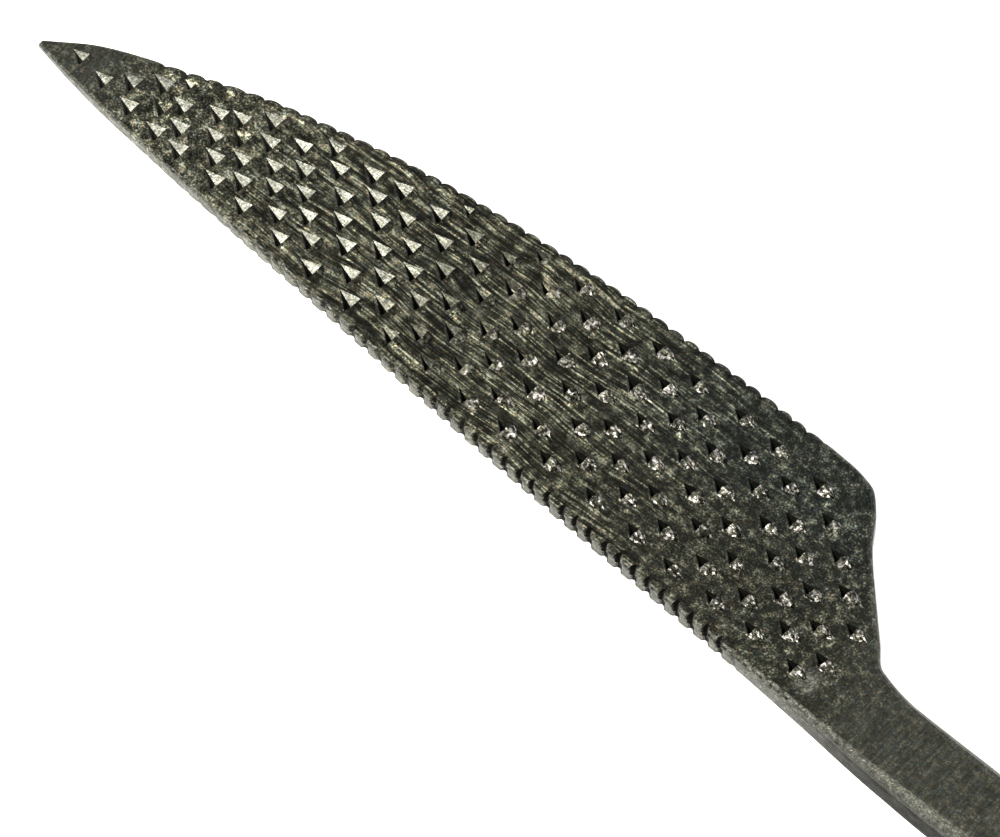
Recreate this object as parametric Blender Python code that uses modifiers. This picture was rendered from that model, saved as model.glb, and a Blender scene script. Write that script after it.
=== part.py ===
"""Hand-stitched wood rasp: a forged knife-shaped blade with a tang, a brass ferrule and a turned beech handle.

Each piece is drawn along the tool: x runs from the blade's tip to the handle's butt, y towards the blade's
convex edge, and z up from the blade's middle plane. y = 0 is the axis of the shank, tang, ferrule and handle.
An empty then carries all of it to the part's frame, whose origin is under the middle of the whole tool.
"""

import math
import random

import bmesh
import bpy

# --- Driving dimensions, in metres ---------------------------------------------------------------
BLADE_LENGTH = 0.080            # tip to the notch behind the heel
SHANK_END = 0.108               # where the shank enters the handle
TANG_END = 0.160                # the tang's blunt point, inside the handle
TOOL_LENGTH = 0.222             # tip to the handle's butt
BLADE_TOP = 0.0154              # highest point of the convex edge above the tool's axis
POINT_LENGTH = 0.0070           # the smooth point, ahead of the first edge tooth

# The two edges of the forging: (x, y) points that a smooth curve runs through.
CONVEX_EDGE = [
    (0.0000, 0.0035), (0.0035, 0.0058), (0.0072, 0.0073), (0.0182, 0.0111), (0.0331, 0.0140),
    (0.0483, 0.0152), (0.0600, BLADE_TOP), (0.0675, 0.0152), (0.0698, 0.0148), (0.0714, 0.0134),
    (0.0730, 0.0111), (0.0759, 0.0080), (0.0785, 0.0054), (BLADE_LENGTH, 0.0039), (0.0841, 0.0031),
    (0.0900, 0.0030), (SHANK_END, 0.0031), (TANG_END, 0.0013),
]
STRAIGHT_EDGE = [
    (0.0000, 0.0030), (0.0035, 0.0024), (0.0077, 0.0019), (0.0155, 0.0012), (0.0309, 0.0001),
    (0.0463, -0.0010), (0.0618, -0.0018), (0.0771, -0.0025), (0.0849, -0.0031), (0.0900, -0.0033),
    (SHANK_END, -0.0031), (TANG_END, -0.0013),
]
# Thickness at the places where the forging's flat faces change their slope.
THICKNESS = [
    (0.0, 0.0007), (POINT_LENGTH, 0.0014), (0.0720, 0.0021), (BLADE_LENGTH, 0.0029), (0.0900, 0.0038),
    (SHANK_END, 0.0038), (TANG_END, 0.0024),
]
CHAMFER = 0.00025               # eased corner between a flat face and an edge

# Teeth punched in the edges: first, last, pitch and depth along x.
CONVEX_TEETH = (POINT_LENGTH, 0.0660, 0.00145, 0.00025)
STRAIGHT_TEETH = (0.0220, 0.0715, 0.00141, 0.00022)

# Teeth stitched in the faces, in slanting lines that start at the straight edge and lean to the tip.
# Pairs of sizes are for the tip half and the heel half: the stitching grows coarser in between.
# Lists hold (x, size).
FIRST_LINE = 0.0035
LAST_LINE = 0.0880
LAST_TOOTH = 0.0775
COARSENS = (0.033, 0.050)       # the stretch of blade over which the stitching coarsens
LINE_PITCH = [
    (0.0, 0.0026), (0.0060, 0.0027), (0.0140, 0.0030), (0.0190, 0.0036), (0.0250, 0.00365),
    (0.0350, 0.0038), (LAST_LINE, 0.00415),
]
STEP_BACK = [
    (0.0080, 0.0010), (0.0150, 0.00112), (0.0200, 0.00130), (COARSENS[0], 0.00164), (COARSENS[1], 0.00228),
]
STEP_UP = [
    (0.0080, 0.0017), (0.0150, 0.00146), (0.0200, 0.00136), (COARSENS[0], 0.00156), (COARSENS[1], 0.00184),
]
EDGE_MARGIN = (0.0017, 0.0024)  # plain band along the straight edge
TOP_MARGIN = (0.00095, 0.0012)  # plain band along the convex edge
HEEL_ROOM = 0.0010              # a tooth also keeps clear of the edge this far towards the handle
HEEL_MARGIN = 0.00096
LINE_JITTER = 0.00035           # how far the hand strays from the pattern, line by line
JITTER = 0.00015                # and tooth by tooth
TOOTH_TILT = (math.radians(-5), math.radians(-10))
PIT_LENGTH = (0.0015, 0.0013)
PIT_WIDTH = (0.0012, 0.0010)
PIT_DEPTH = (0.00030, 0.00045)
BURR_LENGTH = (0.0007, 0.0012)
BURR_HEIGHT = (0.00018, 0.00038)
LEDGE = 0.00006                 # between a pit's end wall and the foot of its burr
OVERLAP = 0.0001                # how far pits start above the face, and burrs below it
NARROW_SIZES = (1.0, 0.8, 0.6, 0.45)    # tried in turn where a tooth is close to the convex edge

# Ferrule and handle. The handle's sizes are (distance from the butt, radius).
GAP = 0.0003
FERRULE_LENGTH = 0.016
FERRULE_WALL = 0.0010
FERRULE_FRONT_RADIUS = 0.0080
FERRULE_BACK_RADIUS = 0.0088
FERRULE_LIP = 0.0012            # how far the front rim turns in over the handle's end
FERRULE_ROUND = 0.0005          # rounded front corner, and the eased one at the back
FERRULE_EASE = 0.0003
HANDLE_LENGTH = TOOL_LENGTH - SHANK_END - GAP
BUTT_FLAT_RADIUS = 0.0075
HANDLE_RADIUS = 0.0135          # at the fullest part of the grip
HANDLE_BELLY = [
    (0.0970, 0.0091), (0.0940, 0.0100), (0.0880, 0.0093), (0.0800, 0.0092), (0.0650, 0.0110),
    (0.0450, 0.0130), (0.0280, HANDLE_RADIUS), (0.0130, 0.0125), (0.0045, 0.0108), (0.0010, 0.0087),
]
BORE_START = 0.0020             # the cutter for the tang's bore starts this far ahead of the handle
TURNED_STEPS = 40
MERGE = 0.000001                # two points closer than this are one


# --- Small tools ---------------------------------------------------------------------------------
def smooth_through(points, x):
    """Height at x of a smooth curve through points, with no overshoot between them."""
    if x <= points[0][0]:
        return points[0][1]
    for i in range(len(points) - 1):
        (x0, y0), (x1, y1) = points[i], points[i + 1]
        if x <= x1:
            break
    else:
        return points[-1][1]
    slopes = []
    for j in (i, i + 1):
        before = points[max(j - 1, 0)]
        here = points[j]
        after = points[min(j + 1, len(points) - 1)]
        if j in (0, len(points) - 1):
            slopes.append((after[1] - before[1]) / (after[0] - before[0]))
            continue
        left = (here[1] - before[1]) / (here[0] - before[0])
        right = (after[1] - here[1]) / (after[0] - here[0])
        slopes.append(0.0 if left * right <= 0 else 2 * left * right / (left + right))
    span = x1 - x0
    t = (x - x0) / span
    return (y0 * (1 + 2 * t) * (1 - t) ** 2 + slopes[0] * span * t * (1 - t) ** 2
            + y1 * t * t * (3 - 2 * t) + slopes[1] * span * t * t * (t - 1))


def straight_through(points, x):
    """Height at x of the straight runs between points, held at both ends."""
    x = max(x, points[0][0])
    for (x0, y0), (x1, y1) in zip(points, points[1:]):
        if x <= x1:
            return y0 + (y1 - y0) * (x - x0) / (x1 - x0)
    return points[-1][1]


def grown(sizes, x):
    """A size that grows from its tip value to its heel value along the blade."""
    share = (x - COARSENS[0]) / (COARSENS[1] - COARSENS[0])
    return sizes[0] + (sizes[1] - sizes[0]) * min(max(share, 0.0), 1.0)


def principled(name, colour, roughness, metallic):
    material = bpy.data.materials.new(name)
    material.use_nodes = True
    shader = material.node_tree.nodes["Principled BSDF"]
    shader.inputs["Base Color"].default_value = (*colour, 1.0)
    shader.inputs["Roughness"].default_value = roughness
    shader.inputs["Metallic"].default_value = metallic
    return material


def mesh_object(name, form, collection, parent):
    mesh = bpy.data.meshes.new(name)
    bmesh.ops.recalc_face_normals(form, faces=form.faces)
    form.to_mesh(mesh)
    form.free()
    item = bpy.data.objects.new(name, mesh)
    collection.objects.link(item)
    item.parent = parent
    return item


def boolean(target, cutter, operation):
    modifier = target.modifiers.new(cutter.name, "BOOLEAN")
    modifier.operation = operation
    modifier.solver = "EXACT"
    modifier.object = cutter


def turned(name, profile, collection, parent, closed=False):
    """A turned piece: profile is (radius, height) pairs down its outer side, around local Z."""
    form = bmesh.new()
    corners = [form.verts.new((radius, 0.0, height)) for radius, height in profile]
    for a, b in zip(corners, corners[1:]):
        form.edges.new((a, b))
    if closed:
        form.edges.new((corners[-1], corners[0]))
    mesh = bpy.data.meshes.new(name)
    form.to_mesh(mesh)
    form.free()
    item = bpy.data.objects.new(name, mesh)
    collection.objects.link(item)
    item.parent = parent
    screw = item.modifiers.new("turning", "SCREW")
    screw.axis = "Z"
    screw.angle = math.tau
    screw.steps = TURNED_STEPS
    screw.render_steps = TURNED_STEPS
    screw.use_merge_vertices = True
    screw.merge_threshold = MERGE
    screw.use_smooth_shade = True
    return item


# --- The forging ---------------------------------------------------------------------------------
def toothed_stations(points, teeth):
    """(x, y) along one edge: bends of the outline, and a valley and a crest for each edge tooth."""
    first, last, pitch, depth = teeth
    count = round((last - first) / pitch)
    run = [(x, smooth_through(points, x), 0.0) for x, _ in points if not first <= x <= last]
    for k in range(count + 1):
        crest = first + k * pitch
        run.append((crest, smooth_through(points, crest), 0.0))
        if k < count:
            valley = crest + 0.6 * pitch
            run.append((valley, smooth_through(points, valley), depth))
    run += [(x, smooth_through(points, x), 0.0) for x, _ in THICKNESS
            if not first <= x <= last and all(abs(x - px) > MERGE for px, _ in points)]
    return sorted(run)


def forged_body(form):
    """The forging without its stitching: both outlines, with eased corners and a tapered thickness."""
    edges = [(toothed_stations(CONVEX_EDGE, CONVEX_TEETH), 1.0),
             (toothed_stations(STRAIGHT_EDGE, STRAIGHT_TEETH), -1.0)]
    rings = [[], [], [], []]
    for stations, side in edges:
        order = stations if side > 0 else reversed(stations)
        for x, y, cut in order:
            half = straight_through(THICKNESS, x) / 2
            inner = y - side * (CHAMFER if 0.0 < x < TANG_END else 0.5 * CHAMFER)
            outer = y - side * cut
            rings[0].append(form.verts.new((x, inner, -half)))
            rings[1].append(form.verts.new((x, outer, -(half - CHAMFER))))
            rings[2].append(form.verts.new((x, outer, half - CHAMFER)))
            rings[3].append(form.verts.new((x, inner, half)))
    count = len(rings[0])
    for lower, upper in zip(rings, rings[1:]):
        for i in range(count):
            j = (i + 1) % count
            form.faces.new((lower[i], lower[j], upper[j], upper[i]))
    for ring in (rings[0], rings[3]):
        for (x0, _), (x1, _) in zip(THICKNESS, THICKNESS[1:]):
            form.faces.new([v for v in ring if x0 - MERGE <= v.co.x <= x1 + MERGE])


def has_room(x, y):
    """Whether a tooth at (x, y) stays clear of the convex edge and the heel."""
    return (x < LAST_TOOTH and y < smooth_through(CONVEX_EDGE, x) - grown(TOP_MARGIN, x)
            and y < smooth_through(CONVEX_EDGE, x + HEEL_ROOM) - HEEL_MARGIN)


def tooth_places():
    """(x, y) at the foot of each stitched tooth."""
    hand = random.Random(11)
    places = []
    line_x = FIRST_LINE
    while line_x < LAST_LINE:
        x = line_x + hand.uniform(-LINE_JITTER, LINE_JITTER)
        y = smooth_through(STRAIGHT_EDGE, x) + grown(EDGE_MARGIN, x)
        while x > FIRST_LINE - LINE_JITTER and y < BLADE_TOP:
            if has_room(x, y):
                places.append((x + hand.uniform(-JITTER, JITTER), y + hand.uniform(-JITTER, JITTER)))
            y += straight_through(STEP_UP, x)
            x -= straight_through(STEP_BACK, x)
        line_x += straight_through(LINE_PITCH, line_x)
    return places


def tetrahedron(form, corners):
    verts = [form.verts.new(corner) for corner in corners]
    for a, b, c in ((0, 1, 2), (0, 1, 3), (0, 2, 3), (1, 2, 3)):
        form.faces.new((verts[a], verts[b], verts[c]))


def turned_corners(x, y, corners, size):
    """A tooth's corners (along, across, up) as (x, y, up), turned to the line of the punch."""
    tilt = grown(TOOTH_TILT, x)
    places = []
    for along, across, up in corners:
        along_x = size * (along * math.cos(tilt) - across * math.sin(tilt))
        along_y = size * (along * math.sin(tilt) + across * math.cos(tilt))
        places.append((x + along_x, y + along_y, up))
    return places


def stitched(form, shape):
    """One small solid at each tooth's place, on both faces of the blade."""
    for x, y in tooth_places():
        for size in NARROW_SIZES:
            places = turned_corners(x, y, shape(x), size)
            if all(py < smooth_through(CONVEX_EDGE, px) - CHAMFER - OVERLAP for px, py, _ in places):
                break
        for face in (1.0, -1.0):
            corners = []
            for px, py, up in places:
                corners.append((px, py, face * (straight_through(THICKNESS, px) / 2 + up)))
            tetrahedron(form, corners)


def pit(x):
    """The punch's mark: a three-sided pit that deepens towards the tooth."""
    length = grown(PIT_LENGTH, x)
    half = grown(PIT_WIDTH, x) / 2
    deep = grown(PIT_DEPTH, x)
    return [(-length, 0.0, OVERLAP), (0.0, -half, OVERLAP), (0.0, half, OVERLAP), (0.0, 0.0, -deep)]


def burr(x):
    """The tooth itself: steel that the punch has pushed up behind its mark."""
    half = grown(PIT_WIDTH, x) / 2
    length = grown(BURR_LENGTH, x)
    return [(LEDGE, -half, -OVERLAP), (LEDGE, half, -OVERLAP), (LEDGE + length, 0.0, -OVERLAP),
            (LEDGE + OVERLAP, 0.0, grown(BURR_HEIGHT, x))]


def make_blade(parts, cutters, parent):
    form = bmesh.new()
    forged_body(form)
    blade = mesh_object("rasp_blade", form, parts, parent)
    blade.data.materials.append(principled("forged_steel", (0.085, 0.085, 0.068), 0.5, 0.9))
    for name, shape, operation in (("tooth_pits", pit, "DIFFERENCE"), ("tooth_burrs", burr, "UNION")):
        form = bmesh.new()
        stitched(form, shape)
        cutter = mesh_object(name, form, cutters, parent)
        cutter.hide_render = True
        cutter.display_type = "WIRE"
        boolean(blade, cutter, operation)
    return blade


# --- Ferrule and handle --------------------------------------------------------------------------
def place_turned(item, butt_x):
    """Turns local Z to point from the butt to the tip, with local zero at butt_x."""
    item.rotation_euler = (0.0, -math.pi / 2, 0.0)
    item.location = (butt_x, 0.0, 0.0)


def make_ferrule(parts, parent):
    lip = FERRULE_FRONT_RADIUS - FERRULE_WALL - FERRULE_LIP
    inner_front = FERRULE_FRONT_RADIUS - FERRULE_WALL
    inner_back = FERRULE_BACK_RADIUS - FERRULE_WALL
    profile = [
        (lip, FERRULE_LENGTH), (FERRULE_FRONT_RADIUS - FERRULE_ROUND, FERRULE_LENGTH),
        (FERRULE_FRONT_RADIUS, FERRULE_LENGTH - FERRULE_ROUND), (FERRULE_BACK_RADIUS, FERRULE_EASE),
        (FERRULE_BACK_RADIUS - FERRULE_EASE, 0.0), (inner_back, 0.0),
        (inner_front, FERRULE_LENGTH - FERRULE_WALL), (lip, FERRULE_LENGTH - FERRULE_WALL),
    ]
    ferrule = turned("ferrule", profile, parts, parent, closed=True)
    place_turned(ferrule, SHANK_END + FERRULE_LENGTH - FERRULE_WALL)
    ferrule.data.materials.append(principled("brass", (0.62, 0.45, 0.19), 0.35, 1.0))
    return ferrule


def make_handle(parts, cutters, parent):
    top = HANDLE_LENGTH
    shoulder = top - (FERRULE_LENGTH - FERRULE_WALL)
    spigot_front = FERRULE_FRONT_RADIUS - FERRULE_WALL - GAP
    spigot_back = FERRULE_BACK_RADIUS - FERRULE_WALL - GAP
    profile = [(0.0, top), (spigot_front, top), (spigot_back, shoulder)]
    profile += [(radius, height) for height, radius in HANDLE_BELLY]
    profile += [(BUTT_FLAT_RADIUS, 0.0), (0.0, 0.0)]
    handle = turned("handle", profile, parts, parent)
    place_turned(handle, TOOL_LENGTH)
    handle.data.materials.append(principled("beech", (0.60, 0.38, 0.20), 0.45, 0.0))

    form = bmesh.new()
    bmesh.ops.create_cube(form, size=1.0)
    mouth = SHANK_END - BORE_START
    bottom = TANG_END + GAP
    for corner in form.verts:
        x = mouth if corner.co.x < 0 else bottom
        half_height = straight_through(THICKNESS, x) / 2 + GAP
        half_width = smooth_through(CONVEX_EDGE, x) + GAP
        corner.co = (x, math.copysign(half_width, corner.co.y), math.copysign(half_height, corner.co.z))
    bore = mesh_object("tang_bore", form, cutters, parent)
    bore.hide_render = True
    bore.display_type = "WIRE"
    boolean(handle, bore, "DIFFERENCE")
    return handle


def make_rasp():
    for old in list(bpy.data.objects):
        bpy.data.objects.remove(old, do_unlink=True)
    parts = bpy.data.collections.new("wood_rasp")
    cutters = bpy.data.collections.new("wood_rasp_cutters")
    for collection in (parts, cutters):
        bpy.context.scene.collection.children.link(collection)
    frame = bpy.data.objects.new("tool_frame", None)
    parts.objects.link(frame)
    frame.location = (-TOOL_LENGTH / 2, -(BLADE_TOP - HANDLE_RADIUS) / 2, HANDLE_RADIUS)
    make_blade(parts, cutters, frame)
    make_ferrule(parts, frame)
    make_handle(parts, cutters, frame)


make_rasp()
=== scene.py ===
import math
import random

import bmesh
import bpy
from mathutils import Matrix, Vector, noise
from mathutils.geometry import delaunay_2d_cdt


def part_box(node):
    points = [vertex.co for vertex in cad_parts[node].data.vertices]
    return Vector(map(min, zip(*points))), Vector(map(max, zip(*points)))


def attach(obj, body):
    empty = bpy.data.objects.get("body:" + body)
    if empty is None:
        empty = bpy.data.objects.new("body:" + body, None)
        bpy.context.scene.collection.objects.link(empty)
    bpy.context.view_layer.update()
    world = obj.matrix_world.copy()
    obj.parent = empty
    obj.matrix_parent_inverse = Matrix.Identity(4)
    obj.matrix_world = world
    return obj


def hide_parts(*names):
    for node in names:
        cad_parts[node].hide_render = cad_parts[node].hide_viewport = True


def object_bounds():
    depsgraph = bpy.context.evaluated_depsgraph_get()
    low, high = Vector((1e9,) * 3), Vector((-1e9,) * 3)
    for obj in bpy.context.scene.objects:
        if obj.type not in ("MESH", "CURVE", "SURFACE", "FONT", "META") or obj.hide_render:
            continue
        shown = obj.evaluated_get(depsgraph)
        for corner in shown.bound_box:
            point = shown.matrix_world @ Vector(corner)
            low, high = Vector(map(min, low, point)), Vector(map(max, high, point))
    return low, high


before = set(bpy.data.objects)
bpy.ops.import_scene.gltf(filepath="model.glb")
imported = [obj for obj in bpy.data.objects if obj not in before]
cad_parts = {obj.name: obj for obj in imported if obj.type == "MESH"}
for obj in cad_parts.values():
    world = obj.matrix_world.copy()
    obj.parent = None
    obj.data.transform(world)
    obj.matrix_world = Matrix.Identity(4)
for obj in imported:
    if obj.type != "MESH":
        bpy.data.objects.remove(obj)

MM = 0.001
cad_low, cad_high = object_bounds()

# Every piece is drawn along the tool: x from the blade's tip, y from the axis of shank and handle
# towards the convex edge, z from the blade's middle plane. These three place that in the frame.
blade_low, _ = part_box("rasp_blade")
handle_low, handle_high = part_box("handle")
tool_origin = Vector((blade_low.x, (handle_low.y + handle_high.y) / 2, (handle_low.z + handle_high.z) / 2))


# --- Camera --------------------------------------------------------------------------------------
# A long lens looks down on the blade from the side of its straight edge, with the tip at the upper
# left and the shank leaving at the lower right. The tool is far longer than the view is wide.
CAMERA_AZIMUTH = math.radians(41.3)
CAMERA_ELEVATION = math.radians(62.35)
CAMERA_ROLL = math.radians(-0.44)
CAMERA_DISTANCE = 0.8246
CAMERA_TARGET = tool_origin + Vector((0.04576, 0.00181, 0.0))

camera_data = bpy.data.cameras.new("camera")
camera_data.angle = math.radians(5.0)
camera = bpy.data.objects.new("camera", camera_data)
bpy.context.scene.collection.objects.link(camera)
camera_back = Vector((
    math.sin(CAMERA_AZIMUTH) * math.cos(CAMERA_ELEVATION),
    -math.cos(CAMERA_AZIMUTH) * math.cos(CAMERA_ELEVATION),
    math.sin(CAMERA_ELEVATION),
))
camera.rotation_mode = "QUATERNION"
camera_turn = Matrix.Rotation(CAMERA_ROLL, 3, "Z").to_quaternion()
camera.rotation_quaternion = camera_back.to_track_quat("Z", "Y") @ camera_turn
camera.location = CAMERA_TARGET + camera_back * CAMERA_DISTANCE
bpy.context.scene.camera = camera
bpy.context.scene.view_settings.view_transform = "Standard"


# --- Floor and light -----------------------------------------------------------------------------
# A pale table top under the handle, an even white room, and one soft lamp over the straight edge
# that the facets of the teeth catch.
FLOOR_SIZE = 3.0
FLOOR_DROP = 0.0006
KEY_DIRECTION = Vector((0.01, -0.48, 0.88)).normalized()
KEY_DISTANCE = 0.40
KEY_SIZE = 0.13
KEY_POWER = 2.6
ROOM_LIGHT = 1.3


def new_material(name):
    material = bpy.data.materials.new(name)
    material.use_nodes = True
    return material, material.node_tree, material.node_tree.nodes["Principled BSDF"]


floor_mesh = bpy.data.meshes.new("floor")
floor_form = bmesh.new()
bmesh.ops.create_grid(floor_form, x_segments=4, y_segments=4, size=FLOOR_SIZE / 2)
floor_form.to_mesh(floor_mesh)
floor_form.free()
floor = bpy.data.objects.new("floor", floor_mesh)
floor.location = (0.0, 0.0, cad_low.z - FLOOR_DROP)
bpy.context.scene.collection.objects.link(floor)
floor_material, _, floor_shader = new_material("pale_table")
floor_shader.inputs["Base Color"].default_value = (0.97, 0.97, 0.97, 1.0)
floor_shader.inputs["Roughness"].default_value = 0.9
floor_shader.inputs["Specular IOR Level"].default_value = 0.1
floor_shader.inputs["Emission Color"].default_value = (1.0, 1.0, 1.0, 1.0)
floor_shader.inputs["Emission Strength"].default_value = 0.2
floor_mesh.materials.append(floor_material)

key_data = bpy.data.lights.new("key_lamp", "AREA")
key_data.shape = "DISK"
key_data.size = KEY_SIZE
key_data.energy = KEY_POWER
key_data.color = (1.0, 0.965, 0.88)
key = bpy.data.objects.new("key_lamp", key_data)
bpy.context.scene.collection.objects.link(key)
key_aim = tool_origin + Vector((0.030, 0.005, 0.0))
key.location = key_aim + KEY_DIRECTION * KEY_DISTANCE
key.rotation_mode = "QUATERNION"
key.rotation_quaternion = KEY_DIRECTION.to_track_quat("Z", "Y")

world = bpy.data.worlds.new("room")
world.use_nodes = True
world.node_tree.nodes["Background"].inputs["Color"].default_value = (1.0, 1.0, 1.0, 1.0)
world.node_tree.nodes["Background"].inputs["Strength"].default_value = ROOM_LIGHT
bpy.context.scene.world = world


# --- Blade ---------------------------------------------------------------------------------------
# One steel forging: a thin knife-shaped blade, its heel, the flat shank and the tang inside the
# handle. Both faces are stitched by hand: a three-sided punch is struck towards the tip, and each
# blow leaves a pit and throws up a tooth of steel behind it. The edges are toothed the same way.
SHANK_END = 108.0 * MM
TANG_END = 160.0 * MM
BLADE_END = 80.0 * MM
POINT_LENGTH = 7.0 * MM
CONVEX_EDGE = [
    (0.0000, 0.0035), (0.0035, 0.0058), (0.0072, 0.0073), (0.0182, 0.0111), (0.0331, 0.0140),
    (0.0483, 0.0152), (0.0600, 0.0154), (0.0675, 0.0152), (0.0698, 0.0148), (0.0714, 0.0134),
    (0.0730, 0.0111), (0.0759, 0.0080), (0.0785, 0.0054), (BLADE_END, 0.0039), (0.0841, 0.0031),
    (0.0900, 0.0030), (SHANK_END, 0.0031), (TANG_END, 0.0013),
]
STRAIGHT_EDGE = [
    (0.0000, 0.0030), (0.0035, 0.0024), (0.0077, 0.0019), (0.0155, 0.0012), (0.0309, 0.0001),
    (0.0463, -0.0010), (0.0618, -0.0018), (0.0771, -0.0025), (0.0849, -0.0031), (0.0900, -0.0033),
    (SHANK_END, -0.0031), (TANG_END, -0.0013),
]
THICKNESS = [
    (0.0, 0.0007), (POINT_LENGTH, 0.0014), (0.0720, 0.0021), (BLADE_END, 0.0029), (0.0900, 0.0038),
    (SHANK_END, 0.0038), (TANG_END, 0.0024),
]
CORNER_RADIUS = [
    (0.0, 0.0002), (0.0600, 0.00026), (BLADE_END, 0.00050), (0.0900, 0.00085), (TANG_END, 0.0005),
]


def smooth_through(points, x):
    """Height at x of a smooth curve through points, with no overshoot between them."""
    if x <= points[0][0]:
        return points[0][1]
    for i in range(len(points) - 1):
        (x0, y0), (x1, y1) = points[i], points[i + 1]
        if x <= x1:
            break
    else:
        return points[-1][1]
    slopes = []
    for j in (i, i + 1):
        before = points[max(j - 1, 0)]
        here = points[j]
        after = points[min(j + 1, len(points) - 1)]
        if j in (0, len(points) - 1):
            slopes.append((after[1] - before[1]) / (after[0] - before[0]))
            continue
        left = (here[1] - before[1]) / (here[0] - before[0])
        right = (after[1] - here[1]) / (after[0] - here[0])
        slopes.append(0.0 if left * right <= 0 else 2 * left * right / (left + right))
    span = x1 - x0
    t = (x - x0) / span
    return (y0 * (1 + 2 * t) * (1 - t) ** 2 + slopes[0] * span * t * (1 - t) ** 2
            + y1 * t * t * (3 - 2 * t) + slopes[1] * span * t * t * (t - 1))


def straight_through(points, x):
    """Height at x of the straight runs between points, held at both ends."""
    x = max(x, points[0][0])
    for (x0, y0), (x1, y1) in zip(points, points[1:]):
        if x <= x1:
            return y0 + (y1 - y0) * (x - x0) / (x1 - x0)
    return points[-1][1]


def clamped(value, low=0.0, high=1.0):
    return min(max(value, low), high)


def blend_values(pair, share):
    return pair[0] + (pair[1] - pair[0]) * share


def smooth_step(low, high, value):
    t = clamped((value - low) / (high - low))
    return t * t * (3 - 2 * t)


def half_thickness(x):
    return straight_through(THICKNESS, x) / 2


# The stitching runs in slanting lines that start at the straight edge and lean to the tip. Pairs of
# sizes are for the tip half and the heel half: it grows coarser in between. Lists are (x, size).
FIRST_LINE = 3.5 * MM
LINE_PITCH = [
    (0.0, 0.0026), (0.0060, 0.0027), (0.0140, 0.0030), (0.0190, 0.0036), (0.0250, 0.00365),
    (0.0350, 0.0038), (0.0880, 0.00415),
]
LAST_LINE = 88.0 * MM
LAST_TOOTH = 77.5 * MM
COARSENS = (33.0 * MM, 50.0 * MM)
STEP_BACK = [
    (0.0080, 0.0010), (0.0150, 0.00112), (0.0200, 0.00130), (COARSENS[0], 0.00164), (COARSENS[1], 0.00228),
]
STEP_UP = [
    (0.0080, 0.0017), (0.0150, 0.00146), (0.0200, 0.00136), (COARSENS[0], 0.00156), (COARSENS[1], 0.00184),
]
EDGE_MARGIN = (1.7 * MM, 2.4 * MM)
TOP_MARGIN = (0.95 * MM, 1.2 * MM)
HEEL_ROOM = 1.0 * MM
HEEL_MARGIN = 0.96 * MM
LINE_JITTER = 0.35 * MM
WIDEST = 15.4 * MM
JITTER = 0.15 * MM
TOOTH_TILT = (math.radians(-5), math.radians(-10))


def growth(x):
    return clamped((x - COARSENS[0]) / (COARSENS[1] - COARSENS[0]))


def grown(sizes, x):
    return blend_values(sizes, growth(x))


def has_room(x, y):
    """Whether a tooth at (x, y) stays clear of the convex edge and the heel."""
    return (x < LAST_TOOTH and y < smooth_through(CONVEX_EDGE, x) - grown(TOP_MARGIN, x)
            and y < smooth_through(CONVEX_EDGE, x + HEEL_ROOM) - HEEL_MARGIN)


def tooth_places():
    """(x, y) at the foot of each stitched tooth."""
    hand = random.Random(11)
    places = []
    line_x = FIRST_LINE
    while line_x < LAST_LINE:
        x = line_x + hand.uniform(-LINE_JITTER, LINE_JITTER)
        y = smooth_through(STRAIGHT_EDGE, x) + grown(EDGE_MARGIN, x)
        while x > FIRST_LINE - LINE_JITTER and y < WIDEST:
            if has_room(x, y):
                places.append((x + hand.uniform(-JITTER, JITTER), y + hand.uniform(-JITTER, JITTER)))
            y += straight_through(STEP_UP, x)
            x -= straight_through(STEP_BACK, x)
        line_x += straight_through(LINE_PITCH, line_x)
    return places


# The edge teeth: round beads along the convex edge, and notches across the corners of the straight
# one. Each is (first, full from, full to, last, pitch).
BEADS = (POINT_LENGTH, 9.0 * MM, 63.0 * MM, 66.0 * MM, 1.45 * MM)
BEAD_DEPTH = (0.34 * MM, 0.44 * MM)
NOTCHES = (9.0 * MM, 38.0 * MM, 69.5 * MM, 72.0 * MM, 1.41 * MM)
NOTCH_DEPTH = (0.16 * MM, 0.40 * MM)
NOTCH_SLANT = 0.55
TOOTHED_STEP = 0.12 * MM
BLADE_STEP = 0.25 * MM
TANG_STEP = 1.0 * MM


def edge_turn(teeth, x, side):
    """Where x lies within its edge tooth, from 0 to 1, and how strongly the teeth are cut there."""
    first, full_from, full_to, last, pitch = teeth
    stray = 0.16 * noise.noise(Vector((x / (2.3 * MM), side * 7.0, 1.0)))
    strength = smooth_step(first, full_from, x) * (1 - smooth_step(full_to, last, x))
    strength *= 0.92 + 0.35 * noise.noise(Vector((x / (3.1 * MM), side * 7.0, 5.0)))
    return ((x - first) / pitch + stray) % 1.0, clamped(strength)


def edge_gap(x, side):
    """1 in the gap between two edge teeth, 0 on their crests."""
    if side > 0:
        turn, strength = edge_turn(BEADS, x, side)
        return strength * (1 - math.sqrt(max(0.0, 1 - (2 * turn - 1) ** 2)))
    turn, strength = edge_turn(NOTCHES, x, side)
    return strength * clamped((1 - smooth_step(0.0, 0.26, turn)) + smooth_step(0.72, 0.96, turn))


def edge_cut(x, z, side):
    """How far the edge is cut back at x and height z."""
    half = half_thickness(x)
    level = clamped(abs(z) / half)
    if side > 0:
        return grown(BEAD_DEPTH, x) * edge_gap(x, side)
    return blend_values(NOTCH_DEPTH, level * level) * edge_gap(x + NOTCH_SLANT * (abs(z) - half), side)


def outline_stations(teeth):
    """x of each station along one edge, close together where the edge is toothed."""
    stations = []
    x = 0.0
    while x < TANG_END:
        stations.append(x)
        if teeth[0] - 0.5 * MM <= x < teeth[3] + 0.5 * MM:
            x += TOOTHED_STEP
        elif x < BLADE_END + 5 * MM:
            x += BLADE_STEP
        else:
            x += TANG_STEP
    stations.append(TANG_END)
    return stations


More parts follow.
